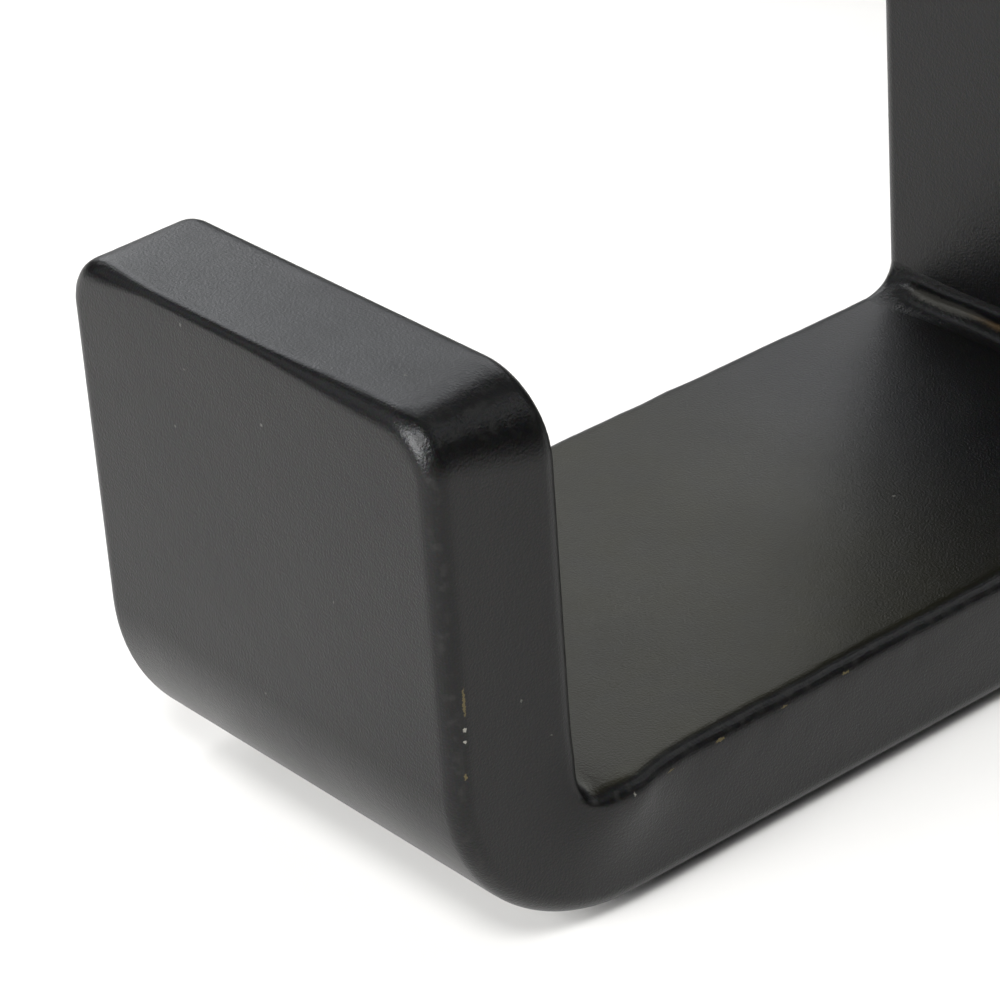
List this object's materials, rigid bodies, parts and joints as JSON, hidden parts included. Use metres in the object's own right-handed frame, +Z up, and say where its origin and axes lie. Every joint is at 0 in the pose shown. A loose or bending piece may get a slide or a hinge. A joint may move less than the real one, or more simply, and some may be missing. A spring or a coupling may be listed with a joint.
{
  "type": "headphone hook",
  "caption": "Under-desk headphone hook of black coated flat steel bar: upturned lip, flat saddle and upright hanger welded to a screw-on plate.",
  "frame": {"origin": "centre of the mounting plate's top face, where it lies against the underside of the desk", "axes": "+Z up into the desk, -Y from the hanger to the upturned lip, X across the bar"},
  "size_m": [0.08, 0.084, 0.1156],
  "materials": {
    "coated_steel": "satin black powder coat",
    "coated_weld": "satin black powder coat over a rippled weld bead",
    "screw_steel": "bright zinc plate"
  },
  "bodies": {
    "root": {"hook_bar": "coated_steel", "hanger_bar": "coated_steel", "mounting_plate": "coated_steel", "saddle_weld": "coated_weld", "heel_weld": "coated_weld", "plate_weld_front": "coated_weld", "plate_weld_rear": "coated_weld", "mounting_screw_1": "screw_steel", "mounting_screw_2": "screw_steel", "mounting_screw_3": "screw_steel", "mounting_screw_4": "screw_steel"}
  },
  "joints": []
}
